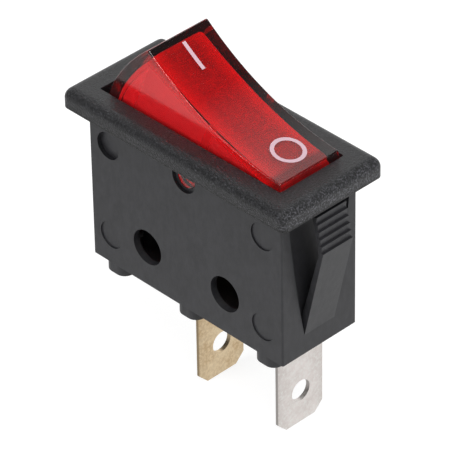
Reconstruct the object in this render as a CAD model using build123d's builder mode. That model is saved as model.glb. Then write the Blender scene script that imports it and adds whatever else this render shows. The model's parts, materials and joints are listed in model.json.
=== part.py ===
from build123d import *
import os
from math import asin, cos, degrees, radians, sin, sqrt

# Panel rocker switch, single pole, with a translucent rocker and two blade terminals.
# Millimetres. The origin is the centre of the bezel's underside, which seats on the panel.
# +Z points out of the panel, +X runs along the switch towards the pressed O end.

# Housing: body and bezel
body_length = 27.2
body_width = 10.3
body_depth = 18.0
body_corner_r = 0.2
wall = 0.8
end_wall = 0.95
pocket_wall = 0.4
floor_thickness = 1.5
bezel_end_overhang = 2.0
bezel_side_overhang = 1.75
bezel_thickness = 2.2
bezel_corner_r = 0.8
bezel_edge_r = 1.1
opening_corner_r = 0.15

# Snap lugs in the two end walls, rooted just above the body's bottom
lug_root_height = 2.3
lug_root_width = 4.2
lug_top_width = 4.1
lug_thickness = 0.6
lug_peak_reach = 2.55
lug_peak_depth = 4.6
lug_top_reach = 1.65
lug_top_depth = 0.7
lug_tooth_count = 5
lug_tooth_step = 0.24
lug_opening_margin = 0.85
lug_opening_mid_width = 6.7
lug_opening_mid_depth = 8.4

# Side holes, moulding marks and pivot holes in the long faces
vent_hole_r = 2.0
vent_hole_x = 5.55
vent_hole_height = 4.7
mark_r = 1.55
mark_end_inset = 2.7
mark_top_inset = 3.5
mark_bottom_inset = 3.5
mark_recess = 0.15
deep_mark_recess = 0.5

# Rocker, in its own frame: u along its length, v away from the pivot
pivot_depth = 2.1
rocker_tilt = 21.2
rocker_side_gap = 0.3
rocker_end_gap = 0.25
rocker_end_wall = 0.95
rocker_side_wall = 0.72
rocker_top_wall = 1.0
rocker_ceiling_r = 80.0
rocker_top_inset = 2.7
rocker_corner_height = 9.0
rocker_top_sag = 1.5
rocker_end_turn = 2.2
rocker_end_sagitta = 0.3
rocker_skirt = 1.2
rocker_edge_r = 0.18
rocker_cavity_corner_r = 0.8
trunnion_r = 1.2
trunnion_clearance = 0.05
trunnion_ear_r = 2.5
pivot_recess_r = 1.6
pivot_recess = 0.4

# Plunger and its spring, in the boss under the rocker's top
boss_r = 2.45
boss_web = 1.0
plunger_r = 1.5
plunger_clearance = 0.05
plunger_tip_r = 1.2
plunger_show = 3.9
plunger_gap = 0.15
plunger_length = 6.0
plunger_spigot_r = 0.75
plunger_spigot = 1.2
plunger_neck = 0.7
spring_wire = 0.35
spring_flat_count = 5
spring_radius = 1.2
spring_length = 6.6
spring_turns = 5

# Contact lever, tipping on the centre terminal's top edge
fulcrum_height = 4.0
lever_tilt = 8.0
lever_thickness = 0.6
lever_width = 4.8
lever_waist_width = 3.2
lever_waist_length = 1.8
lever_end_margin = 1.1
lever_dish_half_length = 3.2
lever_dish_height = 0.05
lever_bend_r = 1.5
fulcrum_groove = 0.3
fulcrum_bevel = 0.2
fulcrum_clearance = 0.08

# Terminals and contacts
blade_width = 6.3
blade_thickness = 0.5
blade_reach = 11.3
blade_tip_chamfer = 1.15
blade_edge_bevel = 0.08
blade_hole_r = 1.25
blade_hole_from_tip = 4.0
slot_clearance = 0.05
shoulder_gap = 0.55
shoulder_height = 1.1
terminal_neck_width = 5.0
terminal_bend_r = 1.0
centre_blade_x = -0.65
end_blade_inset = 2.9
fulcrum_ear_height = 1.1
fulcrum_ear_width = 0.75
contact_inset = 2.7
contact_r = 1.3
contact_height = 0.5
contact_dome_r = 4.0
contact_bevel = 0.15
contact_gap_closed = 0.05
rivet_shank_r = 0.6
rivet_tail_r = 0.95
rivet_tail_height = 0.3
rivet_clearance = 0.02

# Bosses under the floor, one round each terminal position, and the lever's stop
boss_length = 3.05
boss_inset = 0.1
boss_height = 1.25
boss_corner_r = 1.1
centre_boss_x = -0.3
end_boss_inset = 2.85
stop_length = 1.0
stop_width = 5.0
stop_clearance = 0.05

# Sizes that follow from the ones above
bezel_length = body_length + 2 * bezel_end_overhang
bezel_width = body_width + 2 * bezel_side_overhang
cavity_length = body_length - 2 * end_wall
cavity_width = body_width - 2 * wall
floor_top = floor_thickness - body_depth
lug_root_depth = body_depth - lug_root_height
lug_opening_top_width = body_width - 2 * lug_opening_margin
vent_hole_depth = body_depth - vent_hole_height
mark_x = body_length / 2 - mark_end_inset
end_boss_x = body_length / 2 - end_boss_inset
end_blade_x = body_length / 2 - end_blade_inset
contact_x = end_blade_x - contact_inset
lever_half_length = contact_x + lever_end_margin
blade_tip = -body_depth - blade_reach
shoulder_width = cavity_width - 2 * shoulder_gap
rocker_end_radius = cavity_length / 2 - rocker_end_gap
rocker_top_half_length = rocker_end_radius - rocker_top_inset
rocker_half_width = cavity_width / 2 - rocker_side_gap
trunnion_length = body_width / 2 - pivot_recess - rocker_half_width
trunnion_hole_r = trunnion_r + trunnion_clearance
bore_r = plunger_r + plunger_clearance

# The rocker's plane holds its profile, and its axis plane looks along the plunger
tilt_cos = cos(radians(rocker_tilt))
tilt_sin = sin(radians(rocker_tilt))
pivot = (0, 0, -pivot_depth)
rocker_plane = Plane(origin=pivot, x_dir=(tilt_cos, 0, -tilt_sin), z_dir=(0, -1, 0))
plunger_plane = Plane(origin=pivot, x_dir=(tilt_cos, 0, -tilt_sin), z_dir=(tilt_sin, 0, tilt_cos))
plunger_axis = Axis(pivot, (tilt_sin, 0, tilt_cos))

# At rest the lever tips the other way from the rocker
fulcrum_depth = -floor_top - fulcrum_height
lever_cos = cos(radians(lever_tilt))
lever_sin = sin(radians(lever_tilt))
fulcrum = (0, 0, -fulcrum_depth)
lever_plane = Plane(origin=fulcrum, x_dir=(lever_cos, 0, lever_sin), z_dir=(0, -1, 0))

# The plunger reaches down to the lever, less an even gap, and its back end holds the spring
pivot_height = fulcrum_depth - pivot_depth
plunger_tip_reach = pivot_height - lever_dish_height - lever_thickness / 2 - plunger_gap
plunger_back = plunger_length - plunger_tip_reach
spring_seat = plunger_back + spring_length
boss_reach = plunger_tip_reach - plunger_show

# Seen from the lever, the tip's centre swings along an arc, and the dish is concentric with it
swing_arm = plunger_tip_reach - plunger_tip_r
swing_height = pivot_height - swing_arm * tilt_cos
swing_length = swing_arm * tilt_sin * lever_cos - swing_height * lever_sin
swing_rise = swing_arm * tilt_sin * lever_sin + swing_height * lever_cos - (pivot_height - swing_arm)
swing_r = (swing_length**2 + swing_rise**2) / (2 * swing_rise)
lever_dish_r = swing_r + plunger_tip_r + plunger_gap + lever_thickness / 2
lever_dish_end = lever_dish_height + lever_dish_r - sqrt(lever_dish_r**2 - lever_dish_half_length**2)
lever_dish_angle = degrees(asin(lever_dish_half_length / lever_dish_r))
lever_arm_height = lever_dish_end + lever_bend_r * (1 - cos(radians(lever_dish_angle)))
lever_arm_underside = lever_arm_height - lever_thickness / 2

# Where the moving contact comes down when the lever tips over, and the shelf that meets it
contact_tip = lever_arm_underside - contact_height
fixed_contact_x = contact_x * lever_cos + contact_tip * lever_sin
closed_height = -fulcrum_depth - contact_x * lever_sin + contact_tip * lever_cos
shelf_top = closed_height - contact_gap_closed - contact_height
shelf_end_x = fixed_contact_x - contact_r - blade_thickness
stop_outer_x = lever_half_length * lever_cos - stop_clearance
lever_end_height = lever_arm_underside * lever_cos - lever_half_length * lever_sin
stop_top = lever_end_height - fulcrum_depth - stop_clearance


def lug_profile():
    """The snap lug seen from the long side: leaning arm, peak, and a toothed slope up to its top."""
    face = body_length / 2
    slope_rise = lug_peak_depth - lug_top_depth
    slope_run = lug_peak_reach - lug_top_reach
    teeth = []
    for i in range(lug_tooth_count):
        z = -lug_peak_depth + slope_rise * i / lug_tooth_count
        x = face + lug_peak_reach - slope_run * i / lug_tooth_count
        teeth += [(x, z), (x - lug_tooth_step, z)]
    top = (face + lug_top_reach, -lug_top_depth)
    inner = [
        (top[0] - lug_thickness, -lug_top_depth),
        (face + lug_peak_reach - lug_thickness, -lug_peak_depth - lug_thickness / 2),
        (face - end_wall, -lug_root_depth),
    ]
    Polyline((face, -lug_root_depth), *teeth, top, *inner, close=True)


# Snap lug, shaped by its side profile and by its taper seen from the end
with BuildPart() as lug:
    with BuildSketch(Plane.XZ):
        with BuildLine():
            lug_profile()
        make_face()
    extrude(amount=lug_root_width / 2, both=True)
    with BuildSketch(Plane.YZ):
        with BuildLine():
            Polyline(
                (-lug_root_width / 2, -lug_root_depth),
                (lug_root_width / 2, -lug_root_depth),
                (lug_top_width / 2, -lug_top_depth),
                (-lug_top_width / 2, -lug_top_depth),
                close=True,
            )
        make_face()
    extrude(amount=bezel_length, both=True, mode=Mode.INTERSECT)

with BuildPart() as housing:
    # Body block
    with BuildSketch():
        RectangleRounded(body_length, body_width, body_corner_r)
    extrude(amount=-body_depth)
    # Bezel with its rounded upper edge
    with BuildSketch():
        RectangleRounded(bezel_length, bezel_width, bezel_corner_r)
    extrude(amount=bezel_thickness)
    fillet(housing.faces().sort_by(Axis.Z)[-1].edges(), bezel_edge_r)
    # Cavity from the opening down to the floor
    with BuildSketch(Plane.XY.offset(bezel_thickness)):
        RectangleRounded(cavity_length, cavity_width, opening_corner_r)
    extrude(amount=floor_top - bezel_thickness, mode=Mode.SUBTRACT)
    # End pockets round the snap lugs, open outwards and closed towards the cavity
    pocket_face = body_length / 2 - end_wall + pocket_wall
    for side in (-1, 1):
        pocket_plane = Plane.YZ.offset(side * pocket_face)
        with BuildSketch(pocket_plane):
            with BuildLine():
                right = ThreePointArc(
                    (lug_opening_top_width / 2, 0),
                    (lug_opening_mid_width / 2, -lug_opening_mid_depth),
                    (lug_root_width / 2, -lug_root_depth),
                )
                mirror(right, about=Plane.YZ)
                Line((-lug_opening_top_width / 2, 0), (lug_opening_top_width / 2, 0))
                Line((-lug_root_width / 2, -lug_root_depth), (lug_root_width / 2, -lug_root_depth))
            make_face()
        extrude(amount=side * body_length, mode=Mode.SUBTRACT)
    add(lug.part)
    add(lug.part.mirror(Plane.YZ))
    # Side holes and pivot holes through both long faces
    with BuildSketch(Plane.XZ):
        with Locations((-vent_hole_x, -vent_hole_depth), (vent_hole_x, -vent_hole_depth)):
            Circle(vent_hole_r)
        with Locations((0, -pivot_depth)):
            Circle(trunnion_hole_r)
    extrude(amount=body_width, both=True, mode=Mode.SUBTRACT)
    for side in (-1, 1):
        with BuildSketch(Plane(origin=(0, side * body_width / 2, -pivot_depth), z_dir=(0, -1, 0))):
            Circle(pivot_recess_r)
        extrude(amount=side * pivot_recess, mode=Mode.SUBTRACT)
    # Shallow round moulding marks, one of them deeper
    mark_rows = (-mark_top_inset, mark_bottom_inset - body_depth)
    mark_places = [(x, z) for x in (-mark_x, mark_x) for z in mark_rows]
    for side in (-1, 1):
        face_plane = Plane(origin=(0, side * body_width / 2, 0), x_dir=(1, 0, 0), z_dir=(0, -1, 0))
        with BuildSketch(face_plane):
            with Locations(*mark_places):
                Circle(mark_r)
        extrude(amount=side * mark_recess, mode=Mode.SUBTRACT)
    with BuildSketch(Plane.XZ.offset(body_width / 2)):
        with Locations(mark_places[0]):
            Circle(mark_r)
    extrude(amount=-deep_mark_recess, mode=Mode.SUBTRACT)
    # Bosses under the floor with the terminal slots through them
    with BuildSketch(Plane.XY.offset(-body_depth)):
        with Locations((-end_boss_x, 0), (centre_boss_x, 0), (end_boss_x, 0)):
            RectangleRounded(boss_length, body_width - 2 * boss_inset, boss_corner_r)
    extrude(amount=-boss_height)
    with BuildSketch(Plane.XY.offset(floor_top)):
        with Locations((-end_blade_x, 0), (centre_blade_x, 0), (end_blade_x, 0)):
            Rectangle(blade_thickness + 2 * slot_clearance, blade_width + 2 * slot_clearance)
    extrude(amount=-floor_thickness - boss_height, mode=Mode.SUBTRACT)
    # Stop under the lever's free arm, on the side without a terminal
    with BuildSketch(Plane.XY.offset(floor_top)):
        with Locations((-stop_outer_x + stop_length / 2, 0)):
            Rectangle(stop_length, stop_width)
    extrude(amount=stop_top - floor_top)
housing.part.label = "housing"


def rocker_outline():
    """The rocker's side view without its pivot ears: the lower ends are concentric with the pivot."""
    corner = (rocker_top_half_length, rocker_corner_height)
    turn = (sqrt(rocker_end_radius**2 - rocker_end_turn**2), rocker_end_turn)
    skirt = (sqrt(rocker_end_radius**2 - rocker_skirt**2), -rocker_skirt)
    ThreePointArc((-corner[0], corner[1]), (0, corner[1] - rocker_top_sag), corner)
    end = SagittaArc(corner, turn, rocker_end_sagitta)
    lower = ThreePointArc(turn, (rocker_end_radius, 0), skirt)
    mirror(end, about=Plane.YZ)
    mirror(lower, about=Plane.YZ)
    Line(skirt, (-skirt[0], skirt[1]))


with BuildPart() as rocker_cavity:
    # Hollow of the rocker, its ceiling flatter than the top, rounded where its ends meet its sides
    ceiling = rocker_corner_height - rocker_top_sag - rocker_top_wall
    with BuildSketch(rocker_plane):
        with BuildLine():
            rocker_outline()
        make_face()
        offset(amount=-rocker_end_wall)
        with Locations((0, ceiling + rocker_ceiling_r)):
            Circle(rocker_ceiling_r, mode=Mode.SUBTRACT)
        with Locations((0, -trunnion_ear_r)):
            Rectangle(2 * (rocker_end_radius - rocker_end_wall), 2 * trunnion_ear_r)
    extrude(amount=rocker_half_width - rocker_side_wall, both=True)
    corner_edges = [
        edge
        for edge in rocker_cavity.faces().filter_by(Axis.Y).edges()
        if abs(rocker_plane.to_local_coords(edge @ 0.5).X) > rocker_top_half_length / 2
    ]
    fillet(corner_edges, rocker_cavity_corner_r)

with BuildPart() as rocker:
    # Outer form, with rounded edges above the skirt
    with BuildSketch(rocker_plane):
        with BuildLine():
            rocker_outline()
        make_face()
    extrude(amount=rocker_half_width, both=True)
    top_faces = rocker.faces().sort_by(plunger_axis)[-1:]
    end_faces = rocker.faces().filter_by(GeomType.CYLINDER) - top_faces
    rounded = top_faces[0].edges() + end_faces.edges().filter_by(GeomType.CIRCLE)
    fillet(rounded, rocker_edge_r)
    with BuildSketch(rocker_plane):
        Circle(trunnion_ear_r)
    extrude(amount=rocker_half_width, both=True)
    add(rocker_cavity.part, mode=Mode.SUBTRACT)
    # Spring boss, with the web that ties it to the side walls
    boss_top = ceiling + rocker_top_wall / 2
    with BuildSketch(plunger_plane.offset(-boss_reach)):
        Circle(boss_r)
    extrude(amount=boss_reach + boss_top)
    with BuildSketch(plunger_plane.offset(-rocker_skirt)):
        Rectangle(boss_web, 2 * rocker_half_width - rocker_side_wall)
    extrude(amount=rocker_skirt + boss_top)
    with BuildSketch(plunger_plane.offset(-boss_reach)):
        Circle(bore_r)
    extrude(amount=boss_reach + spring_seat, mode=Mode.SUBTRACT)
    # Trunnions
    for plane in (rocker_plane.offset(rocker_half_width), rocker_plane.offset(-rocker_half_width)):
        with BuildSketch(plane):
            Circle(trunnion_r)
        extrude(amount=trunnion_length if plane.origin.Y < 0 else -trunnion_length)
rocker.part.label = "rocker"

with BuildPart() as plunger:
    # Round pin with a domed tip and a spigot inside the spring
    with BuildSketch(rocker_plane):
        with BuildLine():
            tip_centre = plunger_tip_r - plunger_tip_reach
            shoulder = tip_centre + plunger_neck
            spigot_top = plunger_back + plunger_spigot
            Line((0, -plunger_tip_reach), (0, spigot_top))
            CenterArc((0, tip_centre), plunger_tip_r, -90, 90)
            Polyline(
                (plunger_tip_r, tip_centre),
                (plunger_r, shoulder),
                (plunger_r, plunger_back),
                (plunger_spigot_r, plunger_back),
                (plunger_spigot_r, spigot_top),
                (0, spigot_top),
            )
        make_face()
    revolve(axis=plunger_axis)
plunger.part.label = "plunger"

with BuildPart() as plunger_spring:
    # Open coil between the plunger's shoulder and the bore's end, its round wire drawn with flats
    coil_height = spring_length - spring_wire
    coil_base = plunger_plane.offset(plunger_back + spring_wire / 2)
    with BuildLine():
        coil = Helix(
            coil_height / spring_turns,
            coil_height,
            spring_radius - spring_wire / 2,
            center=coil_base.origin,
            direction=coil_base.z_dir,
        )
    with BuildSketch(Plane(origin=coil @ 0, z_dir=coil % 0)):
        RegularPolygon(spring_wire / 2, spring_flat_count)
    sweep(path=coil)
plunger_spring.part.label = "plunger_spring"

with BuildPart() as contact_lever:
    # Strip with a dished middle under the plunger and a flat arm on each side
    with BuildSketch(lever_plane):
        with BuildLine():
            dish = ThreePointArc(
                (-lever_dish_half_length, lever_dish_end),
                (0, lever_dish_height),
                (lever_dish_half_length, lever_dish_end),
            )
            bend = JernArc(dish @ 1, dish % 1, lever_bend_r, -lever_dish_angle)
            arm = Line(bend @ 1, (lever_half_length, (bend @ 1).Y))
            mirror(bend, about=Plane.YZ)
            mirror(arm, about=Plane.YZ)
        trace(line_width=lever_thickness)
    extrude(amount=lever_width / 2, both=True)
    # Waist between the fulcrum's ears, cut by a notch from each edge
    lever_top_plane = Plane(origin=fulcrum, x_dir=lever_plane.x_dir, z_dir=lever_plane.y_dir)
    notch_width = lever_width - lever_waist_width
    notch_y = (lever_waist_width + notch_width) / 2
    with BuildSketch(lever_top_plane):
        with Locations((0, -notch_y), (0, notch_y)):
            Rectangle(lever_waist_length, notch_width)
    extrude(amount=lever_dish_r, both=True, mode=Mode.SUBTRACT)
    # Groove that rides on the fulcrum
    with BuildSketch(lever_plane):
        with BuildLine():
            Polyline(
                (0, fulcrum_clearance),
                (2 * fulcrum_groove, -fulcrum_groove),
                (2 * fulcrum_groove, -lever_thickness),
                (-2 * fulcrum_groove, -lever_thickness),
                (-2 * fulcrum_groove, -fulcrum_groove),
                close=True,
            )
        make_face()
    extrude(amount=lever_width, both=True, mode=Mode.SUBTRACT)
    # Rivet hole in one arm
    with BuildSketch(lever_top_plane):
        with Locations((contact_x, 0)):
            Circle(rivet_shank_r + rivet_clearance)
    extrude(amount=lever_dish_r, mode=Mode.SUBTRACT)
contact_lever.part.label = "contact_lever"


def rivet_profile(sheet_thickness):
    """Half of a contact rivet without its face: the shank through the sheet, and the tail beyond it."""
    tail = sheet_thickness + rivet_tail_height
    Polyline(
        (contact_r, 0),
        (rivet_shank_r, 0),
        (rivet_shank_r, sheet_thickness),
        (rivet_tail_r, sheet_thickness),
        (rivet_shank_r, tail),
        (0, tail),
        (0, -contact_height),
    )


with BuildPart() as moving_contact:
    # Rivet through the lever's arm, its domed head below
    dome_centre = contact_dome_r - contact_height
    rim = dome_centre - sqrt(contact_dome_r**2 - contact_r**2)
    halfway = dome_centre - sqrt(contact_dome_r**2 - contact_r**2 / 4)
    arm_under = lever_plane.from_local_coords(Vector(contact_x, lever_arm_underside, 0))
    rivet_plane = Plane(origin=arm_under, x_dir=lever_plane.x_dir, z_dir=lever_plane.z_dir)
    with BuildSketch(rivet_plane):
        with BuildLine():
            ThreePointArc((0, -contact_height), (contact_r / 2, halfway), (contact_r, rim))
            Line((contact_r, rim), (contact_r, 0))
            rivet_profile(lever_thickness)
        make_face()
    revolve(axis=Axis(rivet_plane.origin, rivet_plane.y_dir))
moving_contact.part.label = "moving_contact"

with BuildPart() as fixed_contact:
    # Rivet through the end terminal's shelf, its flat head above
    rivet_plane = Plane(origin=(fixed_contact_x, 0, shelf_top), x_dir=(1, 0, 0), z_dir=(0, 1, 0))
    with BuildSketch(rivet_plane):
        with BuildLine():
            Polyline(
                (0, -contact_height),
                (contact_r - contact_bevel, -contact_height),
                (contact_r, contact_bevel - contact_height),
                (contact_r, 0),
            )
            rivet_profile(blade_thickness)
        make_face()
    revolve(axis=Axis(rivet_plane.origin, rivet_plane.y_dir))
fixed_contact.part.label = "fixed_contact"


def blade_outline(top_points):
    """A terminal seen from the end: tab with cut corners, shoulders on the floor, then the given top."""
    half = blade_width / 2
    tip_half = half - blade_tip_chamfer
    points = [
        (tip_half, blade_tip),
        (half, blade_tip + blade_tip_chamfer),
        (half, floor_top),
        (shoulder_width / 2, floor_top),
        (shoulder_width / 2, floor_top + shoulder_height),
        (terminal_neck_width / 2, floor_top + shoulder_height),
        *top_points,
    ]
    mirrored = [(-y, z) for y, z in reversed(points)]
    Polyline(*points, *mirrored, close=True)


def bevel_blade(terminal):
    """Coined edges all round the free tab."""
    free_edges = terminal.edges().filter_by(GeomType.LINE).filter_by_position(
        Axis.Z, blade_tip - blade_thickness, -body_depth - boss_height
    )
    thin_edges = free_edges.filter_by(Axis.X)
    chamfer(free_edges - thin_edges, blade_edge_bevel)


with BuildPart() as centre_terminal:
    # Blade joggled to the middle of the switch, where its top edge carries the lever
    with BuildSketch(Plane.XZ):
        with BuildLine():
            FilletPolyline(
                (centre_blade_x, blade_tip),
                (centre_blade_x, floor_top + shoulder_height),
                (0, floor_top + 2 * shoulder_height),
                (0, -fulcrum_depth + fulcrum_ear_height),
                radius=terminal_bend_r,
            )
        trace(line_width=blade_thickness)
    extrude(amount=shoulder_width / 2, both=True)
    with BuildSketch(Plane.YZ):
        with BuildLine():
            ear_outer = lever_waist_width / 2 + fulcrum_clearance * 2 + fulcrum_ear_width
            ear_inner = ear_outer - fulcrum_ear_width
            ear_top = -fulcrum_depth + fulcrum_ear_height
            blade_outline(
                [
                    (terminal_neck_width / 2, ear_top),
                    (ear_inner, ear_top),
                    (ear_inner, -fulcrum_depth),
                ]
            )
        make_face()
        with Locations((0, blade_tip + blade_hole_from_tip)):
            Circle(blade_hole_r, mode=Mode.SUBTRACT)
    extrude(amount=body_length, both=True, mode=Mode.INTERSECT)
    bevel_blade(centre_terminal)
    knife_edges = centre_terminal.edges().filter_by(Axis.Y).filter_by_position(
        Axis.Z, -fulcrum_depth - fulcrum_bevel / 2, -fulcrum_depth + fulcrum_bevel / 2
    )
    chamfer(knife_edges, fulcrum_bevel)
centre_terminal.part.label = "centre_terminal"

with BuildPart() as end_terminal:
    # Blade turned over inside the body as a shelf for the fixed contact
    with BuildSketch(Plane.XZ):
        with BuildLine():
            FilletPolyline(
                (end_blade_x, blade_tip),
                (end_blade_x, shelf_top - blade_thickness / 2),
                (shelf_end_x, shelf_top - blade_thickness / 2),
                radius=terminal_bend_r,
            )
        trace(line_width=blade_thickness)
    extrude(amount=shoulder_width / 2, both=True)
    with BuildSketch(Plane.YZ):
        with BuildLine():
            blade_outline([(terminal_neck_width / 2, shelf_top + blade_thickness)])
        make_face()
        with Locations((0, blade_tip + blade_hole_from_tip)):
            Circle(blade_hole_r, mode=Mode.SUBTRACT)
    extrude(amount=body_length, both=True, mode=Mode.INTERSECT)
    with BuildSketch(Plane.XY.offset(shelf_top)):
        with Locations((fixed_contact_x, 0)):
            Circle(rivet_shank_r + rivet_clearance)
    extrude(amount=-blade_thickness, mode=Mode.SUBTRACT)
    bevel_blade(end_terminal)
end_terminal.part.label = "end_terminal"

os.makedirs("parts", exist_ok=True)
for piece in (
    housing,
    rocker,
    plunger,
    plunger_spring,
    contact_lever,
    moving_contact,
    fixed_contact,
    centre_terminal,
    end_terminal,
):
    export_step(piece.part, f"parts/{piece.part.label}.step")
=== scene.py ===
"""Finishes, rocker lining, printed marks and stage for a panel rocker switch."""

import json
import math

import bmesh
import bpy
from bpy.props import FloatProperty, FloatVectorProperty, PointerProperty
from bpy.types import Operator, Panel, PropertyGroup
from mathutils import Matrix, Vector


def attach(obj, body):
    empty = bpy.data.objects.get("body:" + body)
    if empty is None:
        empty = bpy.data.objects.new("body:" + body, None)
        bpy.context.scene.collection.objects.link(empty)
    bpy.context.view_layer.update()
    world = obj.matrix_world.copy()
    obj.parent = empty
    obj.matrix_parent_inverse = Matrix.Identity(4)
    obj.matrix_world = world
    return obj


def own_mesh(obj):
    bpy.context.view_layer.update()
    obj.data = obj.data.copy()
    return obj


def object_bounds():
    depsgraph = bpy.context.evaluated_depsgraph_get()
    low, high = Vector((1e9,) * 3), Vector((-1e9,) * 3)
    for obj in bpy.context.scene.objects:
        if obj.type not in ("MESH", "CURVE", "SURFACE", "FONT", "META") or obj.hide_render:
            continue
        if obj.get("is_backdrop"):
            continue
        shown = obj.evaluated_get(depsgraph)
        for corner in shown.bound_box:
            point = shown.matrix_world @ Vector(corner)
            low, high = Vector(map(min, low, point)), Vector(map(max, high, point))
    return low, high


bl_info = {
    "name": "Panel Rocker Switch",
    "version": (1, 0, 0),
    "blender": (4, 5, 0),
    "location": "View3D > Sidebar > Switch",
    "description": "Dresses the packed switch with moulded, plated and translucent finishes",
    "category": "Object",
}

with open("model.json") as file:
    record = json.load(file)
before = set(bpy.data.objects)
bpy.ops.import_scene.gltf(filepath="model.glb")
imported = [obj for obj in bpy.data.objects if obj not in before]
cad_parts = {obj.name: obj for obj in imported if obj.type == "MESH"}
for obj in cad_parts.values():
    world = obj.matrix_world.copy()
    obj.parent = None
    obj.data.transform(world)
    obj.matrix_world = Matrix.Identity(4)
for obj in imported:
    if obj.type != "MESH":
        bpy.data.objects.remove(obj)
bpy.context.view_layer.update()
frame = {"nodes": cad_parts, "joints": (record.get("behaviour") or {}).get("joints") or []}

MM = 0.001

# The rocker's own frame, taken from its hinge: u runs along it, v stands up from the pivot
HINGE = next(joint for joint in frame["joints"] if joint["name"] == "rocker_tilt")
PIVOT = Vector(HINGE["pos_m"])
TILT = math.radians(HINGE["range_deg"][1]) / 2
ROCKER_PLACE = Matrix.Translation(PIVOT) @ Matrix.Rotation(TILT, 4, "Y")

# Rocker sizes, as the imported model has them
ROCKER_HALF_WIDTH = 4.05 * MM
ROCKER_END_WALL = 0.95 * MM
ROCKER_SIDE_WALL = 0.72 * MM
CEILING_HEIGHT = 6.5 * MM
CEILING_RADIUS = 80.0 * MM
TOP_HALF_LENGTH = 9.7 * MM
CORNER_HEIGHT = 9.0 * MM
TOP_SAG = 1.5 * MM
TOP_RADIUS = (TOP_HALF_LENGTH**2 + TOP_SAG**2) / (2 * TOP_SAG)
END_RADIUS = 12.4 * MM
END_TURN = 2.2 * MM
END_SAGITTA = 0.3 * MM

# Lining and prisms inside the rocker
LINING_GAP = 0.05 * MM
LINING_BED = 0.02 * MM
LINING_THICKNESS = 0.15 * MM
LINING_CORNER = 0.45 * MM
LINING_CORNER_STEPS = 5
LINING_FOOT = -1.1 * MM
LINING_STEPS = 24
LINING_CORNER_TRIES = 20
LINING_HALF_WIDTH = ROCKER_HALF_WIDTH - ROCKER_SIDE_WALL - LINING_GAP
LINING_CREASE = math.radians(35)
TOP_FACE, SIDE_FACE, END_FACE = range(3)
END_FACING = 0.7
PRISM_MARGIN = 0.3 * MM

# Printed marks
MARK_LIFT = 0.012 * MM
BAR_CENTRE = (-7.15 * MM, 0.06 * MM)
BAR_STEPS = 8
RING_CENTRE = (6.62 * MM, 0.26 * MM)
RING_STEPS = 64

# Black moulding: shares of its colour, where the grain has them, and its wear; painted glints in the grain,
# denser at the bezel's ends, and a painted shade line at the bezel's foot
PLASTIC_SHARES = {"pit_and_shade_line": 0.15, "dark": 0.82, "pale": 1.2, "scuff_and_sparkle": 1.5, "painted_glint": 6.0}
# The glint tone paints the grain's specular sparkle into the colour, as a painted highlight
SOFT_GRAIN = ((0.38, "pit_and_shade_line"), (0.53, "dark"), (0.61, "pale"), (0.75, "painted_glint"))
# Towards the bezel's ends a second ramp paints denser, brighter sparkle into the colour as a painted
# highlight; the scuff tone in it is painted sparkle there, not wear
END_GLINT_GRAIN = ((0.42, "pit_and_shade_line"), (0.49, "dark"), (0.54, "scuff_and_sparkle"), (0.63, "painted_glint"))
END_GLINT_START = 14.4 * MM
END_GLINT_FULL = 15.5 * MM
BEZEL_SEAT = 0.05 * MM
# Painted shade: a dark line in the pit tone along the bezel's lower edge
BEZEL_SHADE_LINE = 0.28 * MM
BEZEL_GLOSS = 0.13
GRAIN_DEPTH = 0.13 * MM
SATIN_SHARE = 0.6
SATIN_DEPTH = 0.006 * MM
PATCH_SIZE = 2.5 * MM
SCUFF_SIZE = 0.6 * MM
SCUFF_STRETCH = (1.0, 1.0, 0.5)
SCUFF_SPAN = (0.35, 0.7)
BODY_ROUGHNESS = 0.45
SCUFFED_ROUGHNESS = 0.41

# Clear red moulding: its tint, and how deep its outer faces reach as the roughness sees them
GLASS_COLOUR = (0.95, 0.8, 0.82)
GLASS_SHADOW = (0.95, 0.93, 0.93)
GLASS_IOR = 1.55
GLASS_CLARITY = 0.992
TINT_DENSITY = 1500.0
TOP_SKIN = (0.5 * MM, 0.3 * MM)
SIDE_SKIN = (0.2 * MM, 0.1 * MM)
END_SKIN = (0.6 * MM, 0.4 * MM)
POLISH_ROUGHNESS = 0.03
SIDE_ROUGHNESS = 0.09
EDGE_ROUGHNESS = 0.05
INNER_ROUGHNESS = 0.33

# Lining colours, with painted light and shade on its sides and ends and painted shade at the top's O end
LINING_ROUGHNESS = 0.5
DEEP_SHARES = (0.45, 0.9, 1.3)
DEEP_BAND = (1.6 * MM, 2.9 * MM)
DEEP_SPAN = (0.3, 0.85)
MOTTLE_SIZE = 0.5 * MM
MOTTLE_SPAN = (0.3, 0.7)
SHADE_START = 8.05 * MM
SHADE_END = 8.6 * MM
SHADE_DEPTH = 0.8
# Painted light and shade down the lining's sides: pale painted light at the top, saturated red below,
# painted shade near the bezel
SIDE_LIGHT_AND_SHADE = (
    (0.0, (0.12, 0.002, 0.004)),
    (0.3, (0.5, 0.003, 0.008)),
    (0.5, (0.9, 0.004, 0.01)),
    (0.9, (1.0, 0.07, 0.05)),
)
# Painted shade colour for the lining's ends and the O end of its top
END_SHADE_COLOUR = (0.12, 0.004, 0.02)
CLOUD_SIZE = 0.8 * MM

# Ink and nylon
INK_GRAIN = 0.2 * MM
INK_THIN = 0.93
INK_ROUGHNESS = 0.4
NYLON_GRAIN = 1.2 * MM
NYLON_COLOURS = ((0.66, 0.64, 0.58), (0.8, 0.78, 0.72))
NYLON_ROUGHNESS = 0.4

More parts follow.
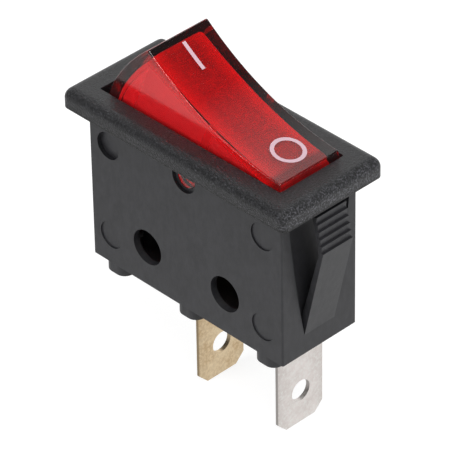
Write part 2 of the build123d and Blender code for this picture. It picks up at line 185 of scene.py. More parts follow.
# Sheet metal: rolling lines, tarnish clouds, pale speckle, dull rims and dark cut edges
METAL_GRAIN = 0.35 * MM
CLOUD_SHARE = 4
CLOUD_SPAN = (0.35, 0.65)
ROLL_STRETCH = (1.0, 1.0, 0.12)
ROLL_WIDTH = 0.08 * MM
ROLL_DEPTH = 0.004 * MM
SPECKLE_SPAN = (0.45, 0.7)
SPECKLE_DEPTH = 0.8
SPECKLE_GAIN = 1.08
RIM_BAND = (1.9 * MM, 3.0 * MM)
RIM_DEPTH = 0.8
RIM_SHARE = 0.8
CUT_SPAN = (0.75, 0.95)
CUT_DEPTH = 0.75
CUT_SHARE = 0.4
WORN_SPAN = (0.3, 0.7)
ROUGHNESS_BELOW = 0.06
ROUGHNESS_ABOVE = 0.08
GREY_TARNISH = (0.86, 0.85, 0.84)
BRASS_TARNISH = (0.76, 0.68, 0.58)
BRASS_ROUGHNESS = 0.42
TIN_ROUGHNESS = 0.5
SILVER_COLOUR = (0.83, 0.82, 0.8)
STEEL_COLOUR = (0.55, 0.55, 0.57)
BRIGHT_ROUGHNESS = 0.3

# Stage
WHITE = (1.0, 1.0, 1.0, 1.0)
FLOOR_SIZE = 3.0
FLOOR_GLOW = 0.84
FLOOR_SHADE = 0.3
FLOOR_MIRROR_TURN = math.radians(-45)
FLOOR_MIRROR_REACH = 0.08
FLOOR_MIRROR_LEVELS = (0.62, 0.92)
KEY_LAMP = {"place": (0.35, -0.2, 0.81), "size": 0.55, "power": 5.6}
EDGE_LAMP = {"place": (0.65, 0.45, 0.04), "size": 0.3, "power": 3.4, "mirrored": False}
FILL_LAMP = {"place": (-0.2, -0.75, 0.3), "size": 0.45, "power": 4.4, "mirrored": False}
WORLD_LIGHT = 0.42
PANEL_DIRECTION = (-0.744, 0.496, 0.447)
PANEL_SPAN = (0.58, 0.93)
PANEL_LEVELS = (0.03, 1.06)

# Camera, fitted to the photograph's edges
CAMERA_AZIMUTH = math.radians(46.22)
CAMERA_ELEVATION = math.radians(36.15)
CAMERA_ROLL = -0.018
CAMERA_DISTANCE = 403.6 * MM
CAMERA_RIGHT = 0.416 * MM
CAMERA_UP = -8.359 * MM
CAMERA_LENS = 328.48
CAMERA_SENSOR = 36.0
CAMERA_NEAR = 0.01


class SwitchFinish(PropertyGroup):
    """Sizes and colours that someone would change."""

    plastic_colour: FloatVectorProperty(
        name="Housing plastic",
        description="Colour of the black moulding",
        subtype="COLOR",
        size=3,
        min=0.0,
        max=1.0,
        default=(0.0155, 0.0155, 0.0175),
    )
    bezel_grain: FloatProperty(
        name="Bezel grain",
        description="Size of the spark-eroded grain on the bezel",
        unit="LENGTH",
        default=0.18 * MM,
        precision=5,
    )
    rocker_tint: FloatVectorProperty(
        name="Rocker tint",
        description="Colour of the clear rocker moulding",
        subtype="COLOR",
        size=3,
        min=0.0,
        max=1.0,
        default=(0.93, 0.05, 0.15),
    )
    lining_colour: FloatVectorProperty(
        name="Rocker lining",
        description="Colour of the textured inner face that glows through the rocker",
        subtype="COLOR",
        size=3,
        min=0.0,
        max=1.0,
        default=(0.58, 0.012, 0.035),
    )
    mark_colour: FloatVectorProperty(
        name="Printed marks",
        description="Colour of the printed I and O",
        subtype="COLOR",
        size=3,
        min=0.0,
        max=1.0,
        default=(0.6, 0.41, 0.47),
    )
    bar_length: FloatProperty(
        name="I length",
        description="Length of the printed I",
        unit="LENGTH",
        default=3.3 * MM,
        precision=5,
    )
    mark_line: FloatProperty(
        name="Mark line",
        description="Width of the printed lines",
        unit="LENGTH",
        default=0.43 * MM,
        precision=5,
    )
    ring_radius: FloatProperty(
        name="O radius",
        description="Outer radius of the printed O",
        unit="LENGTH",
        default=1.8 * MM,
        precision=5,
    )
    prism_pitch: FloatProperty(
        name="Prism pitch",
        description="Spacing of the moulded prisms under the rocker's top",
        unit="LENGTH",
        default=0.3 * MM,
        precision=5,
    )
    prism_height: FloatProperty(
        name="Prism height",
        description="Height of the moulded prisms",
        unit="LENGTH",
        default=0.07 * MM,
        precision=5,
    )
    brass_colour: FloatVectorProperty(
        name="Brass",
        description="Colour of the bare brass",
        subtype="COLOR",
        size=3,
        min=0.0,
        max=1.0,
        default=(0.88, 0.72, 0.49),
    )
    tin_colour: FloatVectorProperty(
        name="Tin plating",
        description="Colour of the plated terminal",
        subtype="COLOR",
        size=3,
        min=0.0,
        max=1.0,
        default=(0.98, 0.92, 0.89),
    )
    floor_colour: FloatVectorProperty(
        name="Floor",
        description="Colour of the pale floor",
        subtype="COLOR",
        size=3,
        min=0.0,
        max=1.0,
        default=(0.86, 0.86, 0.86),
    )


def top_height(u):
    """Height of the rocker's dished top above the pivot."""
    return CORNER_HEIGHT - TOP_SAG + TOP_RADIUS - math.sqrt(TOP_RADIUS**2 - u**2)


def ceiling_height(u):
    """Height of the lining's top, which is bedded in the flatter ceiling of the rocker's hollow."""
    return CEILING_HEIGHT + LINING_BED + CEILING_RADIUS - math.sqrt(CEILING_RADIUS**2 - u**2)


def lining_profile():
    """Side view of the lining, up one end, over the top and down the other, and its points per end."""
    depth = ROCKER_END_WALL + LINING_GAP
    corner = Vector((TOP_HALF_LENGTH, CORNER_HEIGHT))
    turn = Vector((math.sqrt(END_RADIUS**2 - END_TURN**2), END_TURN))
    chord = corner - turn
    end_radius = (chord.length_squared / 4 + END_SAGITTA**2) / (2 * END_SAGITTA)
    outward = Vector((chord.y, -chord.x)).normalized()
    end_centre = (corner + turn) / 2 - outward * (end_radius - END_SAGITTA)

    def end_reach(v):
        """How far out the inner end face is at height v."""
        if v <= END_TURN:
            return math.sqrt((END_RADIUS - depth) ** 2 - v**2)
        return end_centre.x + math.sqrt((end_radius - depth) ** 2 - (v - end_centre.y) ** 2)

    corner_u = TOP_HALF_LENGTH - depth
    for _ in range(LINING_CORNER_TRIES):
        corner_u = end_reach(ceiling_height(corner_u))
    corner_v = ceiling_height(corner_u)
    rise = [LINING_FOOT + (corner_v - LINING_FOOT) * i / LINING_STEPS for i in range(LINING_STEPS)]
    side = [(end_reach(v), v) for v in rise]
    top = []
    for i in range(2 * LINING_STEPS + 1):
        u = corner_u * (1 - i / LINING_STEPS)
        top.append((u, ceiling_height(u)))
    return side + top + [(-u, v) for u, v in reversed(side)], len(side)


def mesh_object(name, mesh):
    """Puts a finished mesh in the scene."""
    piece = bpy.data.objects.new(name, mesh)
    bpy.context.scene.collection.objects.link(piece)
    return piece


def plain_mesh(piece):
    """Replaces a piece's modifiers by their result."""
    bpy.context.view_layer.update()
    seen = piece.evaluated_get(bpy.context.evaluated_depsgraph_get())
    mesh = bpy.data.meshes.new_from_object(seen)
    piece.modifiers.clear()
    piece.data = mesh


def finish_piece(piece, body, material):
    """Gives a new piece its material and the body that it moves with."""
    piece.data.materials.clear()
    piece.data.materials.append(material)
    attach(piece, body)


def dress_node(node, material):
    """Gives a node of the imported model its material."""
    piece = frame["nodes"][node]
    piece.data.materials.clear()
    piece.data.materials.append(material)


def shaded(colour, share):
    """A colour times a number."""
    return [channel * share for channel in colour]


def colour4(colour):
    """A colour with full alpha."""
    return (*colour, 1.0)


class Nodes:
    """Short ways to add and join nodes in one tree."""

    def __init__(self, tree):
        self.tree = tree

    def add(self, kind, inputs=None, **settings):
        """Adds a node, sets its options, and fills or links its inputs."""
        node = self.tree.nodes.new(kind)
        for key, value in settings.items():
            setattr(node, key, value)
        for key, value in (inputs or {}).items():
            if isinstance(value, bpy.types.NodeSocket):
                self.tree.links.new(value, node.inputs[key])
            else:
                node.inputs[key].default_value = value
        return node

    def math(self, operation, first, second=0.0):
        """One sum on two values."""
        return self.add("ShaderNodeMath", {0: first, 1: second}, operation=operation).outputs["Value"]

    def remap(self, value, low, high, to_low, to_high):
        """Maps one range of numbers to another, held at its ends."""
        inputs = {"Value": value, "From Min": low, "From Max": high, "To Min": to_low, "To Max": to_high}
        return self.add("ShaderNodeMapRange", inputs).outputs["Result"]

    def level(self, factor, first, second):
        """Blends two numbers."""
        return self.add("ShaderNodeMix", {0: factor, 2: first, 3: second}).outputs[0]

    def axes(self, place):
        """The three numbers of a place."""
        return self.add("ShaderNodeSeparateXYZ", {0: place}).outputs

    def mirrored(self, path):
        """1 for what gloss or glass sees directly, and 0 for the rest."""
        seen = self.math("MAXIMUM", path["Is Transmission Ray"], path["Is Glossy Ray"])
        return self.math("MULTIPLY", seen, self.math("LESS_THAN", path["Diffuse Depth"], 0.5))


class Finish(Nodes):
    """A material and its node tree."""

    def __init__(self, name):
        self.material = bpy.data.materials.new(name)
        self.material.use_nodes = True
        super().__init__(self.material.node_tree)
        self.tree.nodes.clear()
        self.output = self.add("ShaderNodeOutputMaterial")

    def place(self, location=(0, 0, 0), rotation=(0, 0, 0), scale=(1, 1, 1)):
        """Object coordinates, moved, turned and stretched."""
        source = self.add("ShaderNodeTexCoord").outputs["Object"]
        inputs = {"Vector": source, "Location": location, "Rotation": rotation, "Scale": scale}
        return self.add("ShaderNodeMapping", inputs).outputs["Vector"]

    def rocker_place(self):
        """Object coordinates turned into the rocker's own frame."""
        turned = Matrix.Rotation(-TILT, 3, "Y")
        return self.place(location=-(turned @ PIVOT), rotation=(0, -TILT, 0))

    def noise(self, place, size, detail=3.0, roughness=0.5):
        """Soft grain with the given size in metres."""
        inputs = {"Vector": place, "Scale": 1.0 / size, "Detail": detail, "Roughness": roughness}
        return self.add("ShaderNodeTexNoise", inputs).outputs["Fac"]

    def ramp(self, value, stops):
        """A colour ramp through (position, colour) stops."""
        node = self.add("ShaderNodeValToRGB", {"Fac": value})
        elements = node.color_ramp.elements
        while len(elements) < len(stops):
            elements.new(0.5)
        for element, (position, colour) in zip(elements, stops):
            element.position = position
            element.color = colour4(colour)
        return node.outputs["Color"]

    def mix(self, factor, first, second):
        """Blends two colours, each a socket or three numbers."""
        sockets = bpy.types.NodeSocket
        first = first if isinstance(first, sockets) else colour4(first)
        second = second if isinstance(second, sockets) else colour4(second)
        return self.add("ShaderNodeMix", {0: factor, 6: first, 7: second}, data_type="RGBA").outputs[2]

    def bump(self, height, depth, over=None):
        """Relief of the given depth in metres, over another relief if there is one."""
        inputs = {"Height": height, "Distance": depth}
        if over is not None:
            inputs["Normal"] = over
        return self.add("ShaderNodeBump", inputs).outputs["Normal"]

    def surface(self, **inputs):
        """The shader itself, joined to the output."""
        named = {key.replace("_", " "): value for key, value in inputs.items()}
        self.show(self.add("ShaderNodeBsdfPrincipled", named))

    def show(self, shader):
        """Joins a shader to the output."""
        self.tree.links.new(shader.outputs[0], self.output.inputs["Surface"])


def prism_tree(material):
    """Rows of low four-sided prisms that follow the ceiling of the rocker's hollow."""
    tree = bpy.data.node_groups.new("prism_rows", "GeometryNodeTree")
    tree.interface.new_socket("Geometry", in_out="OUTPUT", socket_type="NodeSocketGeometry")
    for name in ("Length", "Width", "Pitch", "Height"):
        tree.interface.new_socket(name, in_out="INPUT", socket_type="NodeSocketFloat")
    made = Nodes(tree)
    sizes = made.add("NodeGroupInput").outputs
    pitch = sizes["Pitch"]
    rows = made.add(
        "GeometryNodeMeshGrid",
        {
            "Size X": made.math("SUBTRACT", sizes["Length"], pitch),
            "Size Y": made.math("SUBTRACT", sizes["Width"], pitch),
            "Vertices X": made.math("ROUND", made.math("DIVIDE", sizes["Length"], pitch)),
            "Vertices Y": made.math("ROUND", made.math("DIVIDE", sizes["Width"], pitch)),
        },
    )
    axes = made.axes(made.add("GeometryNodeInputPosition").outputs[0])
    drop = made.math("DIVIDE", made.math("MULTIPLY", axes["X"], axes["X"]), 2 * CEILING_RADIUS)
    height = made.math("ADD", drop, CEILING_HEIGHT + LINING_BED)
    seat = made.add("ShaderNodeCombineXYZ", {"X": axes["X"], "Y": axes["Y"], "Z": height}).outputs[0]
    curved = made.add("GeometryNodeSetPosition", {"Geometry": rows.outputs["Mesh"], "Position": seat})
    prism = made.add(
        "GeometryNodeMeshCone",
        {
            "Vertices": 4,
            "Radius Top": 0.0,
            "Radius Bottom": made.math("MULTIPLY", pitch, math.sqrt(0.5)),
            "Depth": sizes["Height"],
        },
        fill_type="NONE",
    )
    square = {"Geometry": prism.outputs["Mesh"], "Rotation": (0.0, 0.0, math.radians(45))}
    turned = made.add("GeometryNodeTransform", square)
    rows_of_prisms = {"Points": curved.outputs[0], "Instance": turned.outputs[0]}
    copies = made.add("GeometryNodeInstanceOnPoints", rows_of_prisms)
    solid = made.add("GeometryNodeRealizeInstances", {"Geometry": copies.outputs[0]})
    dressed = made.add("GeometryNodeSetMaterial", {"Geometry": solid.outputs[0], "Material": material})
    made.add("NodeGroupOutput", {"Geometry": dressed.outputs[0]})
    return tree


def black_plastic(finish):
    """Black moulding: spark-eroded grain on the bezel with painted glints, denser and brighter on its ends,
    a painted shade line along its foot, and a satin body with scuffs.
    """
    made = Finish("black_plastic")
    place = made.place()
    axes = made.axes(place)
    tones = {name: shaded(finish.plastic_colour, share) for name, share in PLASTIC_SHARES.items()}
    bezel = made.remap(axes["Z"], -BEZEL_SEAT, BEZEL_SEAT, 0.0, 1.0)
    end = made.remap(made.math("ABSOLUTE", axes["X"]), END_GLINT_START, END_GLINT_FULL, 0.0, 1.0)
    grain = made.noise(place, finish.bezel_grain, roughness=0.65)
    satin = made.noise(place, finish.bezel_grain * SATIN_SHARE, detail=2.0)
    patches = made.noise(place, PATCH_SIZE)
    scuffs = made.noise(made.place(scale=SCUFF_STRETCH), SCUFF_SIZE, detail=4.0, roughness=0.7)
    plain = made.mix(patches, tones["dark"], tones["pale"])
    body = made.mix(made.remap(scuffs, *SCUFF_SPAN, 0.0, 1.0), plain, tones["scuff_and_sparkle"])
    soft = made.ramp(grain, [(position, tones[name]) for position, name in SOFT_GRAIN])
    # Painted highlight: denser, brighter sparkle for the bezel's ends
    end_glints = made.ramp(grain, [(position, tones[name]) for position, name in END_GLINT_GRAIN])
    # Painted shade line under the bezel's lip, in the pit tone
    painted_shade_line = made.remap(axes["Z"], BEZEL_SHADE_LINE / 2, BEZEL_SHADE_LINE, 1.0, 0.0)
    speckled = made.mix(painted_shade_line, made.mix(end, soft, end_glints), tones["pit_and_shade_line"])
    colour = made.mix(bezel, body, speckled)
    worn = made.remap(scuffs, *SCUFF_SPAN, BODY_ROUGHNESS, SCUFFED_ROUGHNESS)
    rough = made.math("SUBTRACT", worn, made.math("MULTIPLY", bezel, BEZEL_GLOSS))
    relief = made.bump(made.math("MULTIPLY", grain, bezel), GRAIN_DEPTH, over=made.bump(satin, SATIN_DEPTH))
    made.surface(Base_Color=colour, Roughness=rough, Normal=relief)
    return made.material


def glass_roughness(made):
    """Polished top and ends, satin sides, softer edges and a fine texture inside the hollow."""
    axes = made.axes(made.rocker_place())
    along = made.math("ABSOLUTE", axes["X"])
    across = made.math("ABSOLUTE", axes["Y"])
    dish = made.math("DIVIDE", made.math("MULTIPLY", along, along), 2 * TOP_RADIUS)
    height = made.math("SUBTRACT", axes["Z"], dish)

    def skin(value, face, depths):
        """0 inside the moulding and 1 on its face."""
        return made.remap(value, face - depths[0], face - depths[1], 0.0, 1.0)

    top = skin(height, CORNER_HEIGHT - TOP_SAG, TOP_SKIN)
    side = skin(across, ROCKER_HALF_WIDTH, SIDE_SKIN)
    end = skin(along, TOP_HALF_LENGTH, END_SKIN)
    outside = made.math("MAXIMUM", top, made.math("MAXIMUM", side, end))
    polish = made.remap(outside, 0.0, 1.0, INNER_ROUGHNESS, POLISH_ROUGHNESS)
    satin = made.math("MULTIPLY", side, SIDE_ROUGHNESS)
    edge = made.math("MULTIPLY", made.math("MULTIPLY", side, top), EDGE_ROUGHNESS)
    return made.math("ADD", polish, made.math("ADD", satin, edge))


def clear_red(finish):
    """Clear tinted moulding, which lets lamps through to the lining behind it."""
    made = Finish("clear_red")
    glass = made.add(
        "ShaderNodeBsdfPrincipled",
        {
            "Base Color": colour4(GLASS_COLOUR),
            "Roughness": glass_roughness(made),
            "IOR": GLASS_IOR,
            "Transmission Weight": GLASS_CLARITY,
        },
    )
    window = made.add("ShaderNodeBsdfTransparent", {"Color": colour4(GLASS_SHADOW)})
    shadow = made.add("ShaderNodeLightPath").outputs["Is Shadow Ray"]
    made.show(made.add("ShaderNodeMixShader", {0: shadow, 1: glass.outputs[0], 2: window.outputs[0]}))
    inside = {"Color": colour4(finish.rocker_tint), "Density": TINT_DENSITY}
    tint = made.add("ShaderNodeVolumeAbsorption", inside)
    made.tree.links.new(tint.outputs[0], made.output.inputs["Volume"])
    return made.material


def lining_top(finish):
    """Bright textured face under the rocker's top, deeper in its middle, with painted shade towards the O
    end.
    """
    made = Finish("lining_top")
    place = made.rocker_place()
    axes = made.axes(place)
    middle = made.remap(made.math("ABSOLUTE", axes["Y"]), *DEEP_BAND, 1.0, 0.0)
    mottle = made.noise(place, MOTTLE_SIZE, roughness=0.7)
    amount = made.math("MULTIPLY", middle, made.remap(mottle, *MOTTLE_SPAN, *DEEP_SPAN))
    deep = [channel * share for channel, share in zip(finish.lining_colour, DEEP_SHARES)]
    shade = made.remap(axes["X"], SHADE_START, SHADE_END, 0.0, SHADE_DEPTH)
    colour = made.mix(shade, made.mix(amount, finish.lining_colour, deep), END_SHADE_COLOUR)
    made.surface(Base_Color=colour, Roughness=LINING_ROUGHNESS)
    return made.material


def lining_side():
    """Side faces of the lining, with painted light and shade: pale at the top, saturated below and painted
    shade near the bezel.
    """
    made = Finish("lining_side")
    height = made.axes(made.rocker_place())["Z"]
    colour = made.ramp(made.remap(height, 0.0, CORNER_HEIGHT, 0.0, 1.0), SIDE_LIGHT_AND_SHADE)
    made.surface(Base_Color=colour, Roughness=LINING_ROUGHNESS)
    return made.material


def lining_end():
    """End faces of the lining, painted dark as shade, and cloudy."""
    made = Finish("lining_end")
    cloud = made.noise(made.rocker_place(), CLOUD_SIZE)
    colour = made.mix(cloud, END_SHADE_COLOUR, shaded(END_SHADE_COLOUR, 2))
    made.surface(Base_Color=colour, Roughness=LINING_ROUGHNESS)
    return made.material


def print_ink(finish):
    """Pad-printed ink."""
    made = Finish("print_ink")
    cover = made.noise(made.place(), INK_GRAIN)
    colour = made.mix(cover, shaded(finish.mark_colour, INK_THIN), finish.mark_colour)
    made.surface(Base_Color=colour, Roughness=INK_ROUGHNESS)
    return made.material


def rolled_metal(name, colour, roughness, tarnish=GREY_TARNISH):
    """Sheet metal: faint rolling lines along the blade, soft cloudy tarnish, darker cut edges."""
    made = Finish(name)
    place = made.place()
    lines = made.noise(made.place(scale=ROLL_STRETCH), ROLL_WIDTH, detail=2.0)
    cloud = made.noise(place, METAL_GRAIN * CLOUD_SHARE, detail=4.0, roughness=0.6)
    speckle = made.noise(place, METAL_GRAIN, roughness=0.7)
    dull = [channel * share for channel, share in zip(colour, tarnish)]
    bright = [min(1.0, channel) for channel in shaded(colour, SPECKLE_GAIN)]
    across = made.math("ABSOLUTE", made.axes(place)["Y"])
    normal = made.axes(made.add("ShaderNodeNewGeometry").outputs["Normal"])
    rim = made.math("MULTIPLY", made.remap(across, *RIM_BAND, 0.0, RIM_DEPTH), cloud)
    cut = made.remap(made.math("ABSOLUTE", normal["Y"]), *CUT_SPAN, 0.0, CUT_DEPTH)
    base = made.mix(made.remap(cloud, *CLOUD_SPAN, 0.0, 1.0), dull, colour)
    base = made.mix(rim, base, shaded(dull, RIM_SHARE))
    base = made.mix(made.remap(speckle, *SPECKLE_SPAN, 0.0, SPECKLE_DEPTH), base, bright)
    base = made.mix(cut, base, shaded(dull, CUT_SHARE))
    rough = made.remap(speckle, *WORN_SPAN, roughness - ROUGHNESS_BELOW, roughness + ROUGHNESS_ABOVE)
    made.surface(Base_Color=base, Metallic=1.0, Roughness=rough, Normal=made.bump(lines, ROLL_DEPTH))
    return made.material


def nylon():
    """Natural nylon of the plunger."""
    made = Finish("nylon")
    colour = made.mix(made.noise(made.place(), NYLON_GRAIN), *NYLON_COLOURS)
    made.surface(Base_Color=colour, Roughness=NYLON_ROUGHNESS)
    return made.material


class SWITCH_OT_mouldings(Operator):
    """Finish the black housing and the nylon plunger"""

    bl_idname = "switch.mouldings"
    bl_label = "Mouldings"

    def execute(self, context):
        finish = context.scene.switch_finish
        dress_node("housing", black_plastic(finish))
        dress_node("plunger", nylon())
        return {"FINISHED"}


class SWITCH_OT_rocker(Operator):
    """Make the rocker clear and line it with its textured inner face"""

    bl_idname = "switch.rocker"
    bl_label = "Rocker"

    def execute(self, context):
        finish = context.scene.switch_finish
        dress_node("rocker", clear_red(finish))
        lining = mesh_object("rocker_lining", self.lining_mesh())
        wall = lining.modifiers.new("wall", "SOLIDIFY")
        wall.thickness = LINING_THICKNESS
        wall.offset = -1.0
        plain_mesh(lining)
        lining.data.materials.clear()
        for material in (lining_top(finish), lining_side(), lining_end()):
            lining.data.materials.append(material)
        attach(lining, "rocker")
        return {"FINISHED"}

    def lining_mesh(self):
        """Open-bottomed skin with rounded upright corners, and a material for top, sides and ends."""
        profile, side_count = lining_profile()
        made = bmesh.new()
        rows = []
        for y in (-LINING_HALF_WIDTH, LINING_HALF_WIDTH):
            rows.append([made.verts.new((u, y, v)) for u, v in profile])
        corner_edges = []
        for i in range(len(profile) - 1):
            face = made.faces.new((rows[0][i], rows[0][i + 1], rows[1][i + 1], rows[1][i]))
            on_top = side_count <= i < len(profile) - 1 - side_count
            face.material_index = TOP_FACE if on_top else SIDE_FACE
            if not on_top:
                level = [e for e in face.edges if e.verts[0].co.y == e.verts[1].co.y]
                corner_edges += [e for e in level if e not in corner_edges]
        for row in rows:
            side = made.faces.new(row)
            side.material_index = SIDE_FACE
        bmesh.ops.recalc_face_normals(made, faces=made.faces)
        bmesh.ops.bevel(
            made,
            geom=corner_edges,
            offset=LINING_CORNER,
            offset_type="OFFSET",
            segments=LINING_CORNER_STEPS,
            profile=0.5,
            affect="EDGES",
        )
        made.normal_update()
        for face in made.faces:
            if abs(face.normal.x) > END_FACING and face.material_index == SIDE_FACE:
                face.material_index = END_FACE
        made.transform(ROCKER_PLACE)
        mesh = bpy.data.meshes.new("rocker_lining")
        made.to_mesh(mesh)
        made.free()
        mesh.shade_smooth()
        mesh.set_sharp_from_angle(angle=LINING_CREASE)
        return mesh


class SWITCH_OT_prisms(Operator):
    """Stand the moulded prisms on the lining under the rocker's top"""

    bl_idname = "switch.prisms"
    bl_label = "Prisms"

    def execute(self, context):
        finish = context.scene.switch_finish
        profile, side_count = lining_profile()
        half_length = profile[side_count][0] - PRISM_MARGIN
        prisms = mesh_object("rocker_prisms", bpy.data.meshes.new("rocker_prisms"))
        field = prisms.modifiers.new("prisms", "NODES")
        field.node_group = prism_tree(lining_top(finish))
        sizes = {
            "Length": 2 * half_length,
            "Width": 2 * (LINING_HALF_WIDTH - PRISM_MARGIN),
            "Pitch": finish.prism_pitch,
            "Height": finish.prism_height,
        }
        for socket in field.node_group.interface.items_tree:
            if socket.name in sizes:
                field[socket.identifier] = sizes[socket.name]
        plain_mesh(prisms)
        prisms.data.transform(ROCKER_PLACE)
        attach(prisms, "rocker")
        return {"FINISHED"}


class SWITCH_OT_marks(Operator):
    """Print the I and the O on the rocker's top"""

    bl_idname = "switch.marks"
    bl_label = "Printed marks"

    def execute(self, context):
        finish = context.scene.switch_finish
        ink = print_ink(finish)
        self.print_patch("mark_i", self.bar(finish), ink)
        self.print_patch("mark_o", self.ring(finish), ink)
        return {"FINISHED"}

    def bar(self, finish):
        """Strip along the rocker, as rows of two points."""
        half = finish.mark_line / 2
        start = BAR_CENTRE[0] - finish.bar_length / 2
        rows = []
        for i in range(BAR_STEPS + 1):
            u = start + finish.bar_length * i / BAR_STEPS
            rows.append(((u, BAR_CENTRE[1] - half), (u, BAR_CENTRE[1] + half)))
        return rows, False

    def ring(self, finish):
        """Ring, as rows of an inner and an outer point."""
        radii = (finish.ring_radius - finish.mark_line, finish.ring_radius)
        rows = []
        for i in range(RING_STEPS):
            angle = 2 * math.pi * i / RING_STEPS
            cos, sin = math.cos(angle), math.sin(angle)
            rows.append([(RING_CENTRE[0] + r * cos, RING_CENTRE[1] + r * sin) for r in radii])
        return rows, True

    def print_patch(self, name, outline, ink):
        """Lays rows of points on the curved top as a thin film of ink."""
        rows, closed = outline
        made = bmesh.new()
        points = []
        for row in rows:
            points.append([made.verts.new((u, y, top_height(u) + MARK_LIFT)) for u, y in row])
        count = len(points) if closed else len(points) - 1
        for i in range(count):
            here, there = points[i], points[(i + 1) % len(points)]
            made.faces.new((here[0], here[1], there[1], there[0]))
        bmesh.ops.recalc_face_normals(made, faces=made.faces)
        if next(iter(made.faces)).normal.z < 0:
            bmesh.ops.reverse_faces(made, faces=made.faces)
        made.transform(ROCKER_PLACE)
        mesh = bpy.data.meshes.new(name)
        made.to_mesh(mesh)
        made.free()
        mark = mesh_object(name, mesh)
        film = mark.modifiers.new("film", "SOLIDIFY")
        film.thickness = MARK_LIFT
        film.offset = -1.0
        plain_mesh(mark)
        finish_piece(mark, "rocker", ink)


class SWITCH_OT_metalwork(Operator):
    """Finish the terminals, the lever, the contacts and the spring"""

    bl_idname = "switch.metalwork"
    bl_label = "Metalwork"

    def execute(self, context):
        finish = context.scene.switch_finish
        brass = rolled_metal("brass", finish.brass_colour, BRASS_ROUGHNESS, tarnish=BRASS_TARNISH)
        dress_node("centre_terminal", brass)
        dress_node("contact_lever", brass)
        dress_node("end_terminal", rolled_metal("tin_plate", finish.tin_colour, TIN_ROUGHNESS))
        silver = rolled_metal("silver", SILVER_COLOUR, BRIGHT_ROUGHNESS)
        dress_node("moving_contact", silver)
        dress_node("fixed_contact", silver)
        dress_node("plunger_spring", rolled_metal("spring_steel", STEEL_COLOUR, BRIGHT_ROUGHNESS))
        self.squash_spring()
        return {"FINISHED"}

    def squash_spring(self):
        """Gives the spring a mesh of its own."""
        spring = frame["nodes"]["plunger_spring"]
        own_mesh(spring)


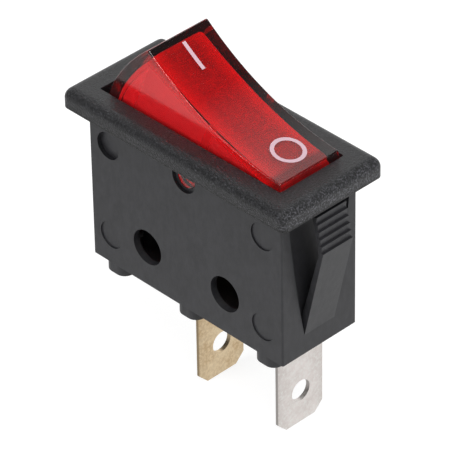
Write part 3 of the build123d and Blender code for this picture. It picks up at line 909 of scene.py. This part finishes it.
class SWITCH_OT_stage(Operator):
    """Add the pale floor, the lamps, the surroundings and the camera"""

    bl_idname = "switch.stage"
    bl_label = "Stage"

    def execute(self, context):
        finish = context.scene.switch_finish
        self.floor(finish)
        for name, lamp in (("key_lamp", KEY_LAMP), ("fill_lamp", FILL_LAMP), ("edge_lamp", EDGE_LAMP)):
            self.lamp(name, **lamp)
        self.surroundings(context.scene)
        self.camera(context.scene)
        context.scene.view_settings.view_transform = "Standard"
        return {"FINISHED"}

    def floor(self, finish):
        """Pale floor under the blades' tips, which the camera sees as near white."""
        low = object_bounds()[0][2]
        made = bmesh.new()
        bmesh.ops.create_grid(made, x_segments=1, y_segments=1, size=FLOOR_SIZE / 2)
        bmesh.ops.translate(made, verts=made.verts, vec=(0, 0, low))
        mesh = bpy.data.meshes.new("floor")
        made.to_mesh(mesh)
        made.free()
        floor = mesh_object("floor", mesh)
        floor.data.materials.append(self.paper(finish))
        floor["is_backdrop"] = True

    def paper(self, finish):
        """White to the camera with a faint shadow, a soft slope of light to gloss, matt to the rest."""
        made = Finish("floor_paper")
        path = made.add("ShaderNodeLightPath").outputs
        matt = made.add("ShaderNodeBsdfDiffuse", {"Color": colour4(finish.floor_colour)})
        dimmed = colour4(shaded(finish.floor_colour, FLOOR_SHADE))
        shadow = made.add("ShaderNodeBsdfDiffuse", {"Color": dimmed})
        glow = made.add("ShaderNodeEmission", {"Color": WHITE, "Strength": FLOOR_GLOW})
        shown = made.add("ShaderNodeAddShader", {0: shadow.outputs[0], 1: glow.outputs[0]})
        slope = made.axes(made.place(rotation=(0, 0, FLOOR_MIRROR_TURN)))["X"]
        level = made.remap(slope, -FLOOR_MIRROR_REACH, FLOOR_MIRROR_REACH, *FLOOR_MIRROR_LEVELS)
        mirror = made.add("ShaderNodeEmission", {"Color": WHITE, "Strength": level})
        first = {0: path["Is Camera Ray"], 1: matt.outputs[0], 2: shown.outputs[0]}
        second = {
            0: made.mirrored(path),
            1: made.add("ShaderNodeMixShader", first).outputs[0],
            2: mirror.outputs[0],
        }
        made.show(made.add("ShaderNodeMixShader", second))
        return made.material

    def lamp(self, name, place, size, power, mirrored=True):
        """A square soft lamp that faces the switch, and that polished faces may mirror."""
        light = bpy.data.lights.new(name, "AREA")
        light.shape = "SQUARE"
        light.size = size
        light.energy = power
        lamp = bpy.data.objects.new(name, light)
        lamp.visible_glossy = mirrored
        bpy.context.scene.collection.objects.link(lamp)
        lamp.location = place
        lamp.rotation_euler = (-Vector(place)).to_track_quat("-Z", "Y").to_euler()

    def surroundings(self, scene):
        """White background; gloss and glass see one wide soft white panel behind the switch."""
        world = bpy.data.worlds.new("studio")
        world.use_nodes = True
        world.node_tree.nodes.clear()
        made = Nodes(world.node_tree)
        path = made.add("ShaderNodeLightPath").outputs
        direction = made.add("ShaderNodeTexCoord").outputs["Generated"]
        towards = {0: direction, 1: PANEL_DIRECTION}
        facing = made.add("ShaderNodeVectorMath", towards, operation="DOT_PRODUCT").outputs["Value"]
        panel = made.remap(facing, *PANEL_SPAN, *PANEL_LEVELS)
        unseen = made.level(made.mirrored(path), WORLD_LIGHT, panel)
        level = made.level(path["Is Camera Ray"], unseen, 1.0)
        sky = made.add("ShaderNodeBackground", {"Color": WHITE, "Strength": level})
        made.add("ShaderNodeOutputWorld", {"Surface": sky.outputs[0]})
        scene.world = world

    def camera(self, scene):
        """The camera at the photograph's angle, distance and framing."""
        level = math.cos(CAMERA_ELEVATION)
        back = Vector(
            (
                math.sin(CAMERA_AZIMUTH) * level,
                -math.cos(CAMERA_AZIMUTH) * level,
                math.sin(CAMERA_ELEVATION),
            )
        )
        right = Vector((math.cos(CAMERA_AZIMUTH), math.sin(CAMERA_AZIMUTH), 0.0))
        up = back.cross(right)
        rolled_right = right * math.cos(CAMERA_ROLL) + up * math.sin(CAMERA_ROLL)
        rolled_up = up * math.cos(CAMERA_ROLL) - right * math.sin(CAMERA_ROLL)
        place = back * CAMERA_DISTANCE + rolled_right * CAMERA_RIGHT + rolled_up * CAMERA_UP
        turn = Matrix((rolled_right, rolled_up, back)).transposed()
        lens = bpy.data.cameras.new("photo_view")
        lens.lens = CAMERA_LENS
        lens.sensor_width = CAMERA_SENSOR
        lens.clip_start = CAMERA_NEAR
        camera = bpy.data.objects.new("photo_view", lens)
        scene.collection.objects.link(camera)
        camera.matrix_world = Matrix.Translation(place) @ turn.to_4x4()
        scene.camera = camera


OPERATORS = (
    SWITCH_OT_mouldings,
    SWITCH_OT_rocker,
    SWITCH_OT_prisms,
    SWITCH_OT_marks,
    SWITCH_OT_metalwork,
    SWITCH_OT_stage,
)


class SWITCH_PT_finish(Panel):
    """Buttons for each group of pieces, and the sizes and colours"""

    bl_idname = "SWITCH_PT_finish"
    bl_label = "Rocker Switch"
    bl_space_type = "VIEW_3D"
    bl_region_type = "UI"
    bl_category = "Switch"

    def draw(self, context):
        finish = context.scene.switch_finish
        for name in SwitchFinish.__annotations__:
            self.layout.prop(finish, name)
        for operator in OPERATORS:
            self.layout.operator(operator.bl_idname)


CLASSES = (SwitchFinish, *OPERATORS, SWITCH_PT_finish)


def register():
    for cls in CLASSES:
        bpy.utils.register_class(cls)
    bpy.types.Scene.switch_finish = PointerProperty(type=SwitchFinish)


def unregister():
    del bpy.types.Scene.switch_finish
    for cls in reversed(CLASSES):
        bpy.utils.unregister_class(cls)


def main():
    register()
    bpy.ops.switch.mouldings()
    bpy.ops.switch.rocker()
    bpy.ops.switch.prisms()
    bpy.ops.switch.marks()
    bpy.ops.switch.metalwork()
    bpy.ops.switch.stage()


if __name__ == "__main__":
    main()
